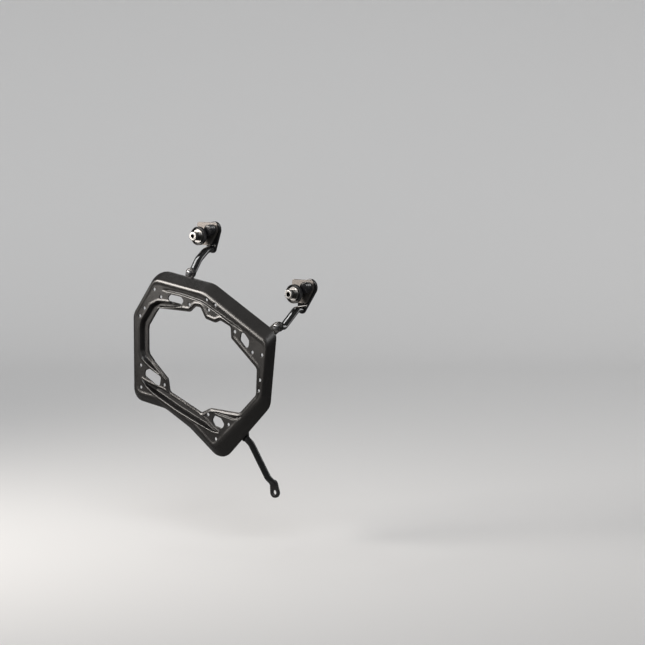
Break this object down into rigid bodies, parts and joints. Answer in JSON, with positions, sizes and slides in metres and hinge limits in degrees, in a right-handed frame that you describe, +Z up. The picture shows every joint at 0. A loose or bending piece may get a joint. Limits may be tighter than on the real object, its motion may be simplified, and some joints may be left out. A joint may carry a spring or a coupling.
{
  "type": "pannier frame",
  "caption": "Side carrier for a motorbike pannier: a pressed ring with slots and beads, two bent arms with upper fixings, and a lower strut.",
  "frame": {"origin": "on the front upper bolt's axis, at the inboard face of the front arm's head plate", "axes": "+X forwards along the bike, +Y inboard along the upper bolts, +Z up"},
  "size_m": [0.367, 0.123, 0.495],
  "materials": {
    "satin_black": "satin black powder coat",
    "gloss_black": "gloss black powder coat",
    "nickel": "bright nickel plate",
    "bare_zinc": "bare zinc plate",
    "rubber_black": "moulded rubber",
    "knob_black": "gloss moulded plastic",
    "black_zinc": "black zinc plate"
  },
  "bodies": {
    "root": {"carrier_plate": "satin_black", "rear_lug": "satin_black", "front_lug": "satin_black", "strut_lug": "satin_black", "rear_arm": "gloss_black", "front_arm": "gloss_black", "foot_screws": "black_zinc", "foot_washers": "black_zinc", "rear_bolt": "nickel", "front_bolt": "nickel", "rear_collar": "nickel", "front_collar": "nickel", "rear_cup": "rubber_black", "front_cup": "rubber_black", "rear_sleeve": "gloss_black", "front_sleeve": "gloss_black", "rear_link": "bare_zinc", "front_link": "bare_zinc", "rear_knob": "knob_black", "front_knob": "knob_black", "rear_stud": "nickel", "front_stud": "nickel", "stud_washers": "nickel", "stud_nuts": "nickel", "strut": "gloss_black", "strut_screw": "black_zinc", "strut_washer": "black_zinc", "strut_nut": "black_zinc"}
  },
  "joints": []
}
